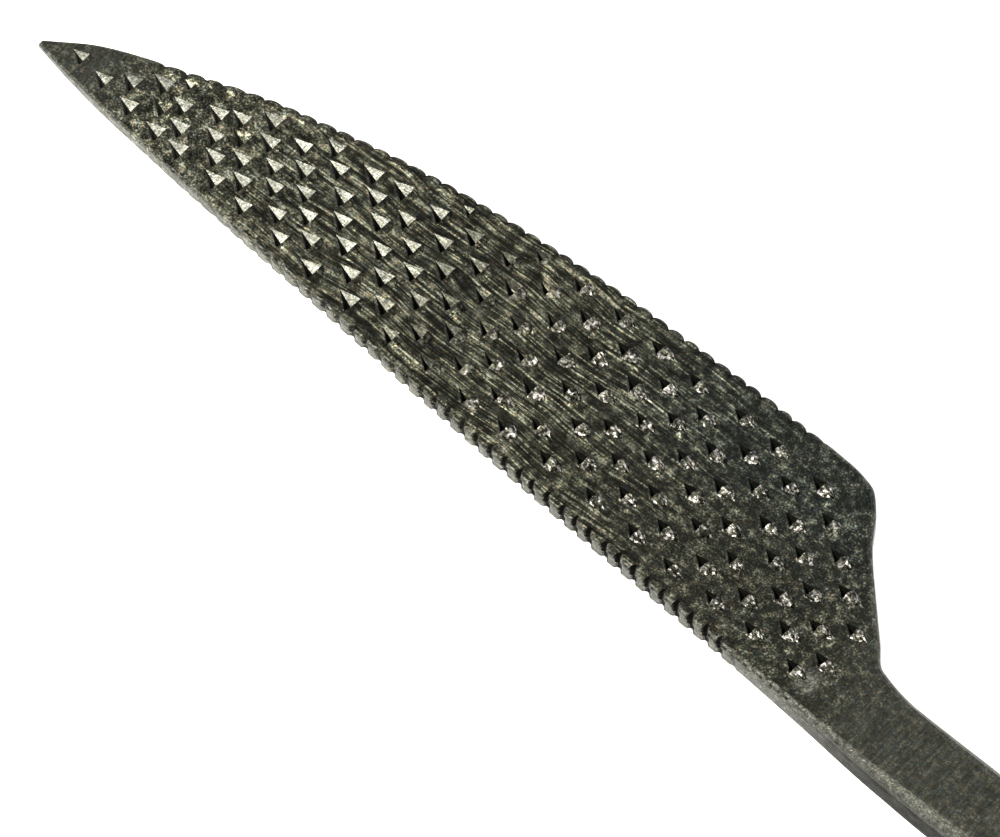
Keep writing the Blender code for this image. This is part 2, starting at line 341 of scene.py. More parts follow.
def edge_normal(points, x, side):
    """The outward direction of an edge, in the blade's plane."""
    step = 0.05 * MM
    rise = smooth_through(points, x + step) - smooth_through(points, x - step)
    return Vector((-rise, 2 * step, 0.0)).normalized() * side


outline = []
for edge_points, edge_teeth, edge_side in ((CONVEX_EDGE, BEADS, 1), (STRAIGHT_EDGE, NOTCHES, -1)):
    run = outline_stations(edge_teeth)
    for station in run if edge_side > 0 else reversed(run):
        outline.append((station, smooth_through(edge_points, station),
                        edge_normal(edge_points, station, edge_side), edge_side))


def edge_point(place, corner_angle, drop, face):
    """A point on the edge: corner_angle round its eased corner, then drop of the way to the middle."""
    x, y, normal, side = place
    half = half_thickness(x)
    width = smooth_through(CONVEX_EDGE, x) - smooth_through(STRAIGHT_EDGE, x)
    radius = min(straight_through(CORNER_RADIUS, x), 0.8 * half, 0.4 * width)
    z = (half - radius * (1 - math.cos(corner_angle))) * (1 - drop)
    inset = radius * (1 - math.sin(corner_angle)) + edge_cut(x, z, side)
    inset += 0.04 * MM * noise.noise(Vector((x / (5 * MM), side, face * z / (3 * MM))))
    return Vector((x - normal.x * inset, y - normal.y * inset, face * z))


# What each corner of a tooth belongs to. A face between them takes its finish, with its painted light and
# shade, from these.
RIM, LOW, VALLEY, DEEP, CREST, BURR, RIDGE, FOOT = range(8)


class Tooth:
    """A tooth's corners (s, t, lift) in mm from the foot of its pit's end wall, s towards the handle."""

    def __init__(self, x, y, hand, shrink=1.0):
        g = growth(x)
        size = hand.uniform(0.92, 1.08) * shrink * blend_values((0.72, 1.0), smooth_step(2 * MM, 9 * MM, x))
        self.x, self.y, self.g = x, y, g
        self.turn = blend_values(TOOTH_TILT, g) + math.radians(hand.uniform(-4, 4))
        self.length = blend_values((1.50, 1.05), g) * size
        self.upper = blend_values((0.60, 0.40), g) * size
        self.lower = blend_values((0.82, 0.48), g) * size
        self.burr = blend_values((0.70, 1.30), g) * size
        self.points = []
        self.kinds = []
        self.creases = []
        deepest = 0.78 * half_thickness(x) / MM
        shelf = min(blend_values((0.38, 0.30), g) * size, 0.5 * deepest)
        depth = min(0.74 * size, deepest)
        valley = blend_values((0.22, 0.06), g) * size
        height = blend_values((0.19, 0.46), g) * size * hand.uniform(0.8, 1.15)
        self.add(RIM, [(-self.length, 0.03, 0.0), (0.0, self.upper, 0.0)])
        self.add(LOW, [(-0.05, -self.lower, 0.0)])
        self.add(VALLEY, [(-0.55 * self.length, -0.45 * valley, -0.44 * shelf), (-0.06, -valley, -shelf)])
        self.add(DEEP, [(-0.10, -0.5 * (valley + self.lower), -depth)])
        self.creases += [(0, 1), (0, 2), (0, 3), (3, 4), (1, 4), (4, 5), (3, 5), (5, 2), (3, 2)]
        crest = []
        for k in range(6):
            across = 1 - 2 * (k + 0.5) / 6
            side = self.upper if across > 0 else self.lower
            lift = height * (1 - 0.55 * across * across) * hand.uniform(0.7, 1.2)
            crest.append((0.06 + 0.08 * hand.random(), across * 0.92 * side, lift))
        self.chain(CREST, crest, 1, 2)
        for row, count in ((0.36, 5), (0.70, 4)):
            lumps = []
            for k in range(count):
                across = 1 - 2 * (k + 0.5) / count
                side = self.upper if across > 0 else self.lower
                lift = height * (1.05 - 0.75 * row - 0.35 * across * across) * hand.uniform(0.55, 1.3)
                back = self.burr * (row + 0.12 * hand.random())
                lumps.append((back, across * (1 - 0.4 * row) * side, lift))
            self.chain(BURR, lumps)
        foot = [(0.10, self.upper + 0.14, 0.0), (0.5 * self.burr, 0.86 * self.upper + 0.08, 0.0)]
        foot += [(self.burr * (1 - 0.25 * a * a), a * (0.5 * self.upper), 0.0) for a in (1, 0, -1)]
        foot += [(0.5 * self.burr, -0.86 * self.lower - 0.08, 0.0), (0.10, -self.lower - 0.16, 0.0)]
        last = self.chain(FOOT, foot, 1, 2) + len(foot) - 1
        ridge = [(-0.55 * self.length, -0.50 * self.lower - 0.07, 0.04 * size),
                 (-0.10 * self.length, -0.93 * self.lower - 0.08, 0.09 * size)]
        self.chain(RIDGE, ridge, 0, 2)
        self.chain(FOOT, [(-0.55 * self.length, -0.50 * self.lower - 0.20, 0.0),
                          (-0.12, -0.93 * self.lower - 0.24, 0.0)], 0, last)

    def add(self, kind, corners):
        first = len(self.points)
        self.points += corners
        self.kinds += [kind] * len(corners)
        return first

    def chain(self, kind, corners, start=None, end=None):
        """Adds corners joined by creases, from corner start and to corner end if they are given."""
        first = self.add(kind, corners)
        links = list(range(first, len(self.points)))
        if start is not None:
            links.insert(0, start)
        if end is not None:
            links.append(end)
        self.creases += zip(links, links[1:])
        return first

    def placed(self):
        cos, sin = math.cos(self.turn), math.sin(self.turn)
        return [(self.x + (s * cos - t * sin) * MM, self.y + (s * sin + t * cos) * MM, lift * MM)
                for s, t, lift in self.points]

    def covers(self, x, y):
        """Whether the plain face's point (x, y) falls on the tooth or right beside it."""
        dx, dy = (x - self.x) / MM, (y - self.y) / MM
        s = dx * math.cos(self.turn) + dy * math.sin(self.turn)
        t = -dx * math.sin(self.turn) + dy * math.cos(self.turn)
        if not -self.length - 0.12 < s < self.burr + 0.12:
            return False
        share = clamped((s + self.length + 0.12) / self.length)
        return -0.12 - (self.lower + 0.24) * share < t < 0.12 + (self.upper + 0.12) * share

    def finish(self, kinds):
        """(bare steel and painted highlight, painted shade, torn steel and painted highlight) of a face
        between corners of these kinds.
        """
        coarse = smooth_step(0.1, 0.9, self.g)
        # Painted shade on the pit's end wall, darker in the tip half.
        if CREST in kinds and (VALLEY in kinds or DEEP in kinds):
            return 0.0, blend_values((0.8, 0.35), self.g), 0.0
        # Painted shade: the deep pit and its steep lower facet are painted black.
        if DEEP in kinds or LOW in kinds and VALLEY in kinds:
            return 0.0, 1.0, 0.0
        # Painted shade on the burr's crest in the tip half, painted highlight on torn steel towards the heel.
        if CREST in kinds:
            return 0.0, blend_values((0.6, 0.0), self.g), 0.45 * coarse
        # The burr's lumps: painted shade in the tip half, painted highlight on torn steel towards the heel.
        if BURR in kinds:
            return 0.0, blend_values((0.4, 0.0), self.g), coarse
        # Painted highlight on the raised lip below the pit.
        if RIDGE in kinds:
            return blend_values((0.20, 0.12), self.g), 0.0, 0.0
        # The struck facet: painted highlight in the tip half that fades out by 44 mm, and painted shade
        # towards the heel.
        if VALLEY in kinds:
            return 1 - smooth_step(27 * MM, 44 * MM, self.x), 0.94 * self.g, 0.0
        return 0.0, 0.0, 0.0


def inside_face(x, y, room):
    """Whether (x, y) is further than room inside the outline of the blade's face."""
    if y < smooth_through(STRAIGHT_EDGE, x) + room:
        return False
    return all(y < smooth_through(CONVEX_EDGE, x + shift) - room for shift in (-0.6 * MM, 0.0, 0.6 * MM))


PLACES = tooth_places()
CELL = 3 * MM
# The plain steel between the teeth: corners this far apart along and across, and strayed, in mm.
FILL_STEP = (0.42, 0.16)
FILL_STRAY = (0.1, 0.03)
FILL_TOP = 16 * MM
EDGE_ROOM = (0.54 * MM, 0.72 * MM)
POINT_ROOM = 0.24 * MM


def place_teeth(hand):
    """Teeth at every place, each one smaller where a full one would run into the edge."""
    teeth = []
    for x, y in PLACES:
        for shrink in (1.0, 0.85, 0.7, 0.55, 0.45):
            tooth = Tooth(x, y, hand, shrink)
            room = POINT_ROOM if x < POINT_LENGTH - 2 * MM else grown(EDGE_ROOM, x)
            if all(inside_face(px, py, room) for px, py, _ in tooth.placed()):
                teeth.append(tooth)
                break
    return teeth


def deepest_cut(x):
    """How far either edge is cut back at its corner, within 0.3 mm of x."""
    shifts = (-0.3 * MM, 0.0, 0.3 * MM)
    return max(edge_cut(x + shift, half_thickness(x), side) for shift in shifts for side in (-1, 1))


def face_surface(face):
    """One face in its outline: corners (x, y, lift, station, tooth, kind), and the triangles between."""
    hand = random.Random(23 if face > 0 else 29)
    corners = []
    for number, place in enumerate(outline):
        p = edge_point(place, 0.0, 0.0, face)
        corners.append((p.x, p.y, 0.0, number, None, None))
    count = len(corners)
    creases = [(i, (i + 1) % count) for i in range(count)]
    nearby = {}
    for tooth in place_teeth(hand):
        first = len(corners)
        for (x, y, lift), kind in zip(tooth.placed(), tooth.kinds):
            corners.append((x, y, lift, None, tooth, kind))
        creases += [(first + a, first + b) for a, b in tooth.creases]
        nearby.setdefault((int(tooth.x // CELL), int(tooth.y // CELL)), []).append(tooth)

    row_y = smooth_through(STRAIGHT_EDGE, BLADE_END) - MM
    while row_y < FILL_TOP:
        column_x = 0.3 * MM
        while column_x < SHANK_END + 4 * MM:
            x = column_x + hand.uniform(-FILL_STRAY[0], FILL_STRAY[0]) * MM
            y = row_y + hand.uniform(-FILL_STRAY[1], FILL_STRAY[1]) * MM
            room = straight_through(CORNER_RADIUS, x) + 0.15 * MM + deepest_cut(x)
            if inside_face(x, y, room):
                cells = [(int(x // CELL) + i, int(y // CELL) + j) for i in (-1, 0, 1) for j in (-1, 0, 1)]
                if not any(tooth.covers(x, y) for cell in cells for tooth in nearby.get(cell, ())):
                    corners.append((x, y, 0.0, None, None, None))
            column_x += FILL_STEP[0] * MM
        row_y += FILL_STEP[1] * MM
    flat = [Vector(corner[:2]) for corner in corners]
    spots, _, triangles, sources, _, _ = delaunay_2d_cdt(flat, creases, [], 1, 1e-7)
    placed = []
    for spot, source in zip(spots, sources):
        placed.append(corners[source[0]] if source else (spot.x, spot.y, 0.0, None, None, None))
    return placed, triangles


def face_relief(x, y):
    """The forged face isn't quite flat: long hollows from the hammer and the grinding wheel's lines."""
    hollow = 0.030 * MM * noise.noise(Vector((x / (7 * MM), y / (4 * MM), 0.0)))
    lines = 0.014 * MM * noise.noise(Vector((x / (6 * MM), y / (0.35 * MM), 4.0)))
    ground = smooth_step(6 * MM, 24 * MM, x) * (1 - 0.8 * smooth_step(50 * MM, 78 * MM, x))
    return hollow + lines * ground


def beside_edge(x, y):
    """How far the steel stands up beside the edge teeth at (x, y), and how much painted shade their gaps get.
    """
    lift = gap_shade = 0.0
    for points, side in ((CONVEX_EDGE, 1), (STRAIGHT_EDGE, -1)):
        away = side * (smooth_through(points, x) - y)
        if away < 1.3 * MM and POINT_LENGTH < x < BLADE_END:
            teeth = BEADS if side > 0 else NOTCHES
            gap = edge_gap(x, side)
            strength = edge_turn(teeth, x, side)[1]
            bulge = 0.28 * MM if side > 0 else 0.08 * MM
            lift += bulge * strength * (1 - gap) * math.exp(-((away - 0.38 * MM) / (0.36 * MM)) ** 2)
            lift -= 0.36 * MM * gap * gap * math.exp(-(away / (0.75 * MM)) ** 2)
            gap_shade += clamped(2.8 * gap ** 1.5) * math.exp(-(away / (0.90 * MM)) ** 2)
    return lift, clamped(gap_shade)


# Around the edge from a face to the middle: (angle round the eased corner, how far down to the middle).
EDGE_RINGS = ((30.0, 0.0), (60.0, 0.0), (90.0, 0.0), (90.0, 0.5))
CORNER_RINGS = 3
# From the face down: a painted highlight along the shank's rounded edge, and painted shade on its side.
SHANK_CORNER_HIGHLIGHT = (0.26, 0.48, 0.30, 0.0, 0.0)
SHANK_SIDE_SHADE = (0.0, 0.0, 0.30, 0.75, 0.75)

form = bmesh.new()
bare_and_highlight_layer = form.faces.layers.float.new("bare_and_highlight")
# Per face: bare steel with painted highlight, painted shade, and torn steel with painted highlight.
painted_shade_layer = form.faces.layers.float.new("painted_shade")
torn_and_highlight_layer = form.faces.layers.float.new("torn_and_highlight")
ring_verts = {}
count = len(outline)
for face in (1, -1):
    placed, triangles = face_surface(face)
    face_verts = []
    top_ring = [None] * count
    for x, y, lift, station, tooth, kind in placed:
        lift += face_relief(x, y * face + 0.01)
        if station is None:
            lift += beside_edge(x, y)[0]
        vert = form.verts.new((x, y, face * (half_thickness(x) + lift)))
        face_verts.append(vert)
        if station is not None:
            top_ring[station] = vert
    for triangle in triangles:
        ends = [placed[index] for index in triangle]
        turned = triangle if face > 0 else triangle[::-1]
        made = form.faces.new([face_verts[index] for index in turned])
        tooth = ends[0][4]
        if tooth is not None and tooth is ends[1][4] and tooth is ends[2][4]:
            finish = tooth.finish({end[5] for end in ends})
            made[bare_and_highlight_layer], made[painted_shade_layer], made[torn_and_highlight_layer] = finish
        else:
            # Painted shade in the gaps between the edge teeth.
            centre = [sum(end[axis] for end in ends) / 3 for axis in (0, 1)]
            made[painted_shade_layer] = beside_edge(*centre)[1]
    rings = [top_ring]
    for degrees, drop in EDGE_RINGS:
        corner_angle = math.radians(degrees)
        rings.append([form.verts.new(edge_point(place, corner_angle, drop, face)) for place in outline])
    ring_verts[face] = rings
middle = []
for above, below in zip(ring_verts[1][-1], ring_verts[-1][-1]):
    middle.append(form.verts.new((above.co + below.co) / 2))
for face in (1, -1):
    belt = ring_verts[face] + [middle]
    for level, (upper, lower) in enumerate(zip(belt, belt[1:])):
        for i, (x, _, _, side) in enumerate(outline):
            j = (i + 1) % count
            made = form.faces.new((upper[i], upper[j], lower[j], lower[i]))
            corner = level < CORNER_RINGS
            if side < 0:
                on_shank = smooth_step(74 * MM, 86 * MM, x)
                z = abs(upper[i].co.z)
                gap = edge_gap(x + NOTCH_SLANT * (z - half_thickness(x)), side)
                # Painted light: the straight edge's side faces the lamp and is painted lighter, in specks on
                # its rounded corner.
                speck = clamped(0.55 + 1.5 * noise.noise(Vector((x / (0.5 * MM), level, 3.0))))
                lit_side_light = (0.85 * speck if corner else blend_values((0.50, 0.20), growth(x))) * (1 - gap)
                # Painted shade in the notches.
                notch_shade = clamped(1.8 * gap * gap) * blend_values((0.55, 1.0), growth(x))
                # Along the shank: painted highlight on its rounded edge, painted shade on its side.
                made[bare_and_highlight_layer] = blend_values((lit_side_light, SHANK_CORNER_HIGHLIGHT[level]), on_shank)
                made[painted_shade_layer] = blend_values((notch_shade, SHANK_SIDE_SHADE[level]), on_shank)
            else:
                # Painted highlight on the corners of the beads.
                made[bare_and_highlight_layer] = 0.16 * (1 - edge_gap(x, side)) if corner else 0.0
                # Painted shade in the gaps between the beads.
                made[painted_shade_layer] = clamped(2.6 * edge_gap(x, side) ** 1.3)
bmesh.ops.recalc_face_normals(form, faces=form.faces)
bmesh.ops.translate(form, verts=form.verts, vec=tool_origin)
blade_mesh = bpy.data.meshes.new("stitched_blade")
form.to_mesh(blade_mesh)
form.free()
blade_mesh.shade_smooth()
blade_mesh.set_sharp_from_angle(angle=math.radians(17))
blade = bpy.data.objects.new("stitched_blade", blade_mesh)
bpy.context.scene.collection.objects.link(blade)


def node_group(name, inputs, outputs):
    """An empty shader node group with float inputs {name: default} and the named float outputs."""
    group = bpy.data.node_groups.new(name, "ShaderNodeTree")
    for socket_name, value in inputs.items():
        socket = group.interface.new_socket(socket_name, in_out="INPUT", socket_type="NodeSocketFloat")
        socket.default_value = value
    for socket_name in outputs:
        group.interface.new_socket(socket_name, in_out="OUTPUT", socket_type="NodeSocketFloat")
    return group, group.nodes.new("NodeGroupInput"), group.nodes.new("NodeGroupOutput")


def tree_of(*values):
    """The node tree that holds the first socket among values."""
    return next(value.id_data for value in values if isinstance(value, bpy.types.NodeSocket))


def feed(socket, value):
    """Gives an input another node's output, a colour as a tuple, a number or a vector."""
    if isinstance(value, bpy.types.NodeSocket):
        socket.id_data.links.new(value, socket)
    else:
        socket.default_value = (*value, 1.0) if isinstance(value, tuple) else value


def add_node(tree, kind, settings=None, inputs=None):
    """A node with its settings made, and its inputs fed by name or number."""
    node = tree.nodes.new(kind)
    for name, value in (settings or {}).items():
        setattr(node, name, value)
    for name, value in (inputs or {}).items():
        feed(node.inputs[name], value)
    return node


def use_group(tree, group, **inputs):
    """The outputs of a shader group placed in a tree."""
    return add_node(tree, "ShaderNodeGroup", {"node_tree": group}, inputs).outputs


def surface_place(tree):
    """Where a point of the surface is in the frame, and its x, y and z."""
    place = add_node(tree, "ShaderNodeTexCoord").outputs["Object"]
    return place, add_node(tree, "ShaderNodeSeparateXYZ", {}, {"Vector": place}).outputs


def calculate(operation, *terms):
    """One math node on sockets and numbers."""
    node = add_node(tree_of(*terms), "ShaderNodeMath", {"operation": operation})
    for socket, term in zip(node.inputs, terms):
        feed(socket, term)
    return node.outputs[0]


def combine(operation, *terms):
    """Subtracts, compares or otherwise joins sockets and numbers, from the left."""
    result = terms[0]
    for term in terms[1:]:
        result = calculate(operation, result, term)
    return result


def plus(*terms):
    return combine("ADD", *terms)


def times(*terms):
    return combine("MULTIPLY", *terms)


def ramp(value, low, high, to_low=0.0, to_high=1.0):
    """Maps a socket's value smoothly from low..high to to_low..to_high, held at both ends."""
    return add_node(tree_of(value), "ShaderNodeMapRange", {"interpolation_type": "SMOOTHSTEP"}, {
        "Value": value, "From Min": low, "From Max": high, "To Min": to_low, "To Max": to_high,
    }).outputs["Result"]


def colour_ramp(value, stops):
    """A colour for each value: stops are (value, colour)."""
    node = add_node(tree_of(value), "ShaderNodeValToRGB", {}, {"Fac": value})
    while len(node.color_ramp.elements) < len(stops):
        node.color_ramp.elements.new(1.0)
    for element, (position, colour) in zip(node.color_ramp.elements, stops):
        element.position = position
        element.color = (*colour, 1.0)
    return node.outputs["Color"]


def noise_value(place, scale, detail=2.0, roughness=0.5, distortion=0.0):
    """Noise around 0.5 at a place, with its scale in cells per metre."""
    return add_node(tree_of(place), "ShaderNodeTexNoise", {}, {
        "Vector": place, "Scale": scale, "Detail": detail, "Roughness": roughness, "Distortion": distortion,
    }).outputs["Fac"]


def mix_colour(factor, a, b, blend="MIX"):
    """Mixes two colours, each a tuple or a socket, by a socket or a number."""
    settings = {"data_type": "RGBA", "blend_type": blend, "clamp_factor": True}
    return add_node(tree_of(factor, a, b), "ShaderNodeMix", settings, {0: factor, 6: a, 7: b}).outputs[2]


def raise_finish(shader, height, strength, distance):
    """Lets a height roughen the finish by up to a distance."""
    bump = add_node(tree_of(height), "ShaderNodeBump", {}, {
        "Strength": strength, "Distance": distance, "Height": height})
    feed(shader.inputs["Normal"], bump.outputs["Normal"])


# Fine mottling of a scaled, pitted or fibrous surface: its tone, and a mask of its pits.
mottle, mottle_in, mottle_out = node_group("fine_mottling", {"Grain": 5000.0}, ("Tone", "Pits"))
mottle_place = add_node(mottle, "ShaderNodeTexCoord").outputs["Object"]
grain = mottle_in.outputs["Grain"]
tone = plus(times(noise_value(mottle_place, grain, 2.0, 0.6), 0.62),
            times(noise_value(mottle_place, times(grain, 0.31), 2.0), 0.38))
feed(mottle_out.inputs["Tone"], tone)
feed(mottle_out.inputs["Pits"], ramp(tone, 0.46, 0.36))

# Fine lines: a grinding wheel's or the fibres of wood along the tool, a lathe tool's across it.
lines, lines_in, lines_out = node_group(
    "fine_lines", {"Along": 200.0, "Across": 6000.0}, ("Tone", "Raised", "Cut"))
lines_start, lines_split = surface_place(lines)
drift = times(combine("SUBTRACT", noise_value(lines_start, 150.0, 1.0), 0.5), 0.0012)
lines_place = add_node(lines, "ShaderNodeCombineXYZ", {}, {
    "X": times(lines_split["X"], lines_in.outputs["Along"]),
    "Y": times(plus(lines_split["Y"], drift), lines_in.outputs["Across"]),
    "Z": times(lines_split["Z"], lines_in.outputs["Across"]),
}).outputs["Vector"]
line_tone = noise_value(lines_place, 1.0, 2.0, 0.6)
feed(lines_out.inputs["Tone"], line_tone)
feed(lines_out.inputs["Raised"], ramp(line_tone, 0.57, 0.70))
feed(lines_out.inputs["Cut"], ramp(line_tone, 0.45, 0.33))

# Hardened steel under a dark skin of scale, ground along its length. Struck facets and torn tooth tops get
# bare steel with a painted highlight; painted shade blackens the pits, edge-tooth gaps and the shank's side.
steel, steel_tree, steel_shader = new_material("forged_steel")
steel_place, steel_split = surface_place(steel_tree)
along = combine("SUBTRACT", steel_split["X"], blade_low.x)
across = combine("SUBTRACT", steel_split["Y"], tool_origin.y)
steel_mottle = use_group(steel_tree, mottle, Grain=6400.0)
steel_lines = use_group(steel_tree, lines, Along=210.0, Across=5000.0)
bare_and_highlight, painted_shade, torn_and_highlight = (
    add_node(steel_tree, "ShaderNodeAttribute", {"attribute_name": name}).outputs["Fac"]
    for name in ("bare_and_highlight", "painted_shade", "torn_and_highlight"))
ground = times(ramp(along, 0.010, 0.028), ramp(along, 0.072, 0.044))
heel = ramp(along, 0.044, 0.062)
shank = ramp(along, 0.074, 0.084)
point = ramp(along, 0.0105, 0.0040)
near_point = ramp(along, 0.036, 0.012)

RUB_CENTRE = Vector((76.6 * MM, -0.3 * MM, 1.45 * MM))
RUB_RADIUS = 1.5 * MM
SCALE_TONES = [
    (0.34, (0.004, 0.004, 0.0032)), (0.42, (0.011, 0.011, 0.0088)), (0.49, (0.026, 0.0265, 0.0205)),
    (0.55, (0.060, 0.061, 0.046)), (0.62, (0.18, 0.18, 0.135)), (0.69, (0.42, 0.41, 0.33)),
]
# Bare steel with painted highlight, for the struck facets, the raised lips and the lit side of the straight
# edge.
BARE_AND_HIGHLIGHT_TONES = [
    (0.36, (0.040, 0.041, 0.033)), (0.44, (0.088, 0.090, 0.074)), (0.55, (0.146, 0.147, 0.130)),
    (0.66, (0.265, 0.268, 0.245)),
]
LINE_TONES = [(0.40, (0.058, 0.058, 0.042)), (0.50, (0.24, 0.236, 0.17)), (0.62, (0.50, 0.49, 0.37))]
# Painted highlight on the torn tops of the teeth, up to near white.
TORN_HIGHLIGHT_TONES = [
    (0.38, (0.012, 0.012, 0.009)), (0.46, (0.050, 0.052, 0.036)), (0.52, (0.15, 0.142, 0.120)),
    (0.59, (0.50, 0.47, 0.45)), (0.68, (0.88, 0.84, 0.83)),
]
SHANK_TONES = [(0.36, (0.020, 0.021, 0.018)), (0.50, (0.039, 0.040, 0.034)), (0.64, (0.080, 0.081, 0.068))]
TINTS = [
    (0.36, (0.74, 0.92, 1.22)), (0.44, (0.92, 1.04, 0.92)), (0.50, (1.0, 1.02, 0.86)),
    (0.57, (1.08, 1.0, 0.74)), (0.65, (1.28, 0.90, 0.86)),
]
HEEL_SKIN = (0.022, 0.023, 0.020)
LINE_DIRT = (0.010, 0.010, 0.008)
BLUING = (0.84, 1.0, 1.16)
# Painted shade: near black, a little lighter towards the point.
SHADE_BLACK = (0.004, 0.004, 0.0035)
POINT_SHADE_BLACK = (0.020, 0.020, 0.016)
line_share = times(ground, 0.55)
scale_tone = plus(times(steel_lines["Tone"], line_share),
                  times(steel_mottle["Tone"], combine("SUBTRACT", 1.0, line_share)))
blotches = ramp(noise_value(steel_place, 900.0, 2.0), 0.32, 0.68, -0.060, 0.045)
scale_tone = plus(scale_tone, blotches, times(near_point, 0.030), times(heel, -0.012))
body = colour_ramp(scale_tone, SCALE_TONES)
body = mix_colour(times(heel, 0.35), body, HEEL_SKIN)
shank_lines = use_group(steel_tree, lines, Along=4600.0, Across=420.0)
shank_tone = plus(times(steel_mottle["Tone"], 0.6), times(shank_lines["Tone"], 0.4))
body = mix_colour(times(combine("MAXIMUM", shank, point), 0.85), body, colour_ramp(shank_tone, SHANK_TONES))
body = mix_colour(times(steel_lines["Cut"], ground, 0.85), body, LINE_DIRT)
scores = use_group(steel_tree, lines, Along=130.0, Across=2300.0)
body = mix_colour(times(scores["Cut"], ground, 0.5), body, LINE_DIRT)
broken = ramp(steel_mottle["Tone"], 0.42, 0.54, 0.25, 1.0)
raised_lines = combine("MAXIMUM", steel_lines["Raised"], times(scores["Raised"], 0.5))
body = mix_colour(times(raised_lines, ground, broken), body, colour_ramp(steel_mottle["Tone"], LINE_TONES))
tint = colour_ramp(noise_value(steel_place, 3600.0, 2.0, 0.6), TINTS)
body = mix_colour(0.5, body, tint, "MULTIPLY")
body = mix_colour(times(heel, ramp(across, 0.004, 0.011), 0.5), body, BLUING, "MULTIPLY")
# A rubbed place where the heel narrows into the shank.
rub_distance = add_node(steel_tree, "ShaderNodeVectorMath", {"operation": "DISTANCE"}, {
    "Vector": steel_place, 1: tool_origin + RUB_CENTRE}).outputs["Value"]
bare_and_highlight = combine("MAXIMUM", bare_and_highlight, times(ramp(rub_distance, RUB_RADIUS, 0.0), 0.6))
body = mix_colour(bare_and_highlight, body, colour_ramp(steel_mottle["Tone"], BARE_AND_HIGHLIGHT_TONES))
burr_speck_noise = noise_value(steel_place, 3300.0, 3.0, 0.6)
body = mix_colour(torn_and_highlight, body, colour_ramp(burr_speck_noise, TORN_HIGHLIGHT_TONES))
body = mix_colour(painted_shade, body, mix_colour(near_point, SHADE_BLACK, POINT_SHADE_BLACK))
steel_rough = ramp(noise_value(steel_place, 900.0, 3.0), 0.35, 0.65, 0.38, 0.50)
steel_height = plus(steel_mottle["Tone"], times(steel_lines["Tone"], ground), times(burr_speck_noise, torn_and_highlight, 2.5))
feed(steel_shader.inputs["Base Color"], body)
feed(steel_shader.inputs["Metallic"], 1.0)
feed(steel_shader.inputs["Roughness"], plus(steel_rough, times(painted_shade, 0.35)))
raise_finish(steel_shader, steel_height, 0.55, 0.09 * MM)
blade_mesh.materials.append(steel)
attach(blade, "root")
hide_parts("rasp_blade")


# --- Ferrule -------------------------------------------------------------------------------------
# A short tapered tube of drawn brass, turned in at the front, that stops the handle from splitting.
# It is driven on over the handle's spigot and fixed by a centre punch, once on each side.
FERRULE_LENGTH = 16.0 * MM
FERRULE_WALL = 1.0 * MM
FERRULE_FRONT = 8.0 * MM
FERRULE_BACK = 8.8 * MM
FERRULE_LIP = 1.2 * MM
FERRULE_ROUND = 0.5 * MM
FERRULE_GROOVES = (2.6 * MM, 13.4 * MM)
GROOVE_DEPTH = 0.14 * MM
GROOVE_WIDTH = 0.28 * MM
DIMPLE_PLACE = 9.0 * MM
DIMPLE_RADIUS = 0.8 * MM
DIMPLE_DEPTH = 0.35 * MM
DIMPLE_TURNS = (math.radians(100), math.radians(280))
FERRULE_STEPS = 90
TURNED_SIDES = 128


def around(radius, angle):
    return radius * math.cos(angle), radius * math.sin(angle)


def add_hoop(turned, x, point_at):
    """A hoop of corners round the tool's axis at x: point_at(angle) gives each one's y and z."""
    angles = [math.tau * k / TURNED_SIDES for k in range(TURNED_SIDES)]
    return [turned.verts.new((x, *point_at(angle))) for angle in angles]


def join_hoops(turned, one, other):
    for k in range(TURNED_SIDES):
        turned.faces.new((one[k], one[k - 1], other[k - 1], other[k]))


def finish_piece(name, turned, sharp_degrees):
    """An object in the frame from a mesh drawn along the tool, smooth but for its sharp corners."""
    bmesh.ops.recalc_face_normals(turned, faces=turned.faces)
    bmesh.ops.translate(turned, verts=turned.verts, vec=tool_origin)
    mesh = bpy.data.meshes.new(name)
    turned.to_mesh(mesh)
    turned.free()
    mesh.shade_smooth()
    mesh.set_sharp_from_angle(angle=math.radians(sharp_degrees))
    piece = bpy.data.objects.new(name, mesh)
    bpy.context.scene.collection.objects.link(piece)
    return piece


ferrule_x = SHANK_END - FERRULE_WALL
ferrule_end = ferrule_x + FERRULE_LENGTH
mouth_radius = FERRULE_FRONT - FERRULE_WALL - FERRULE_LIP


def ferrule_radius(along_ferrule):
    """The outside of the tube, with its two turned grooves."""
    radius = blend_values((FERRULE_FRONT, FERRULE_BACK), along_ferrule / FERRULE_LENGTH)
    for groove in FERRULE_GROOVES:
        radius -= GROOVE_DEPTH * math.exp(-((along_ferrule - groove) / GROOVE_WIDTH) ** 2 * 2)
    return radius


def ferrule_dent(x, radius, angle):
    """The two centre-punch marks, and the slight waviness of a hammered fit."""
    if radius < FERRULE_FRONT - 0.5 * FERRULE_WALL:
        return radius
    along_ferrule = x - ferrule_x
    for mark in DIMPLE_TURNS:
        aside = radius * math.sin(angle - mark) if math.cos(angle - mark) > 0 else FERRULE_LENGTH
        off = math.hypot(along_ferrule - DIMPLE_PLACE, aside)
        radius -= DIMPLE_DEPTH * clamped(1 - off / DIMPLE_RADIUS)
        radius += 0.05 * MM * math.exp(-((off - DIMPLE_RADIUS) / (0.2 * MM)) ** 2)
    return radius + 0.02 * MM * noise.noise(Vector((x / (4 * MM), math.cos(angle) * 2, math.sin(angle) * 2)))


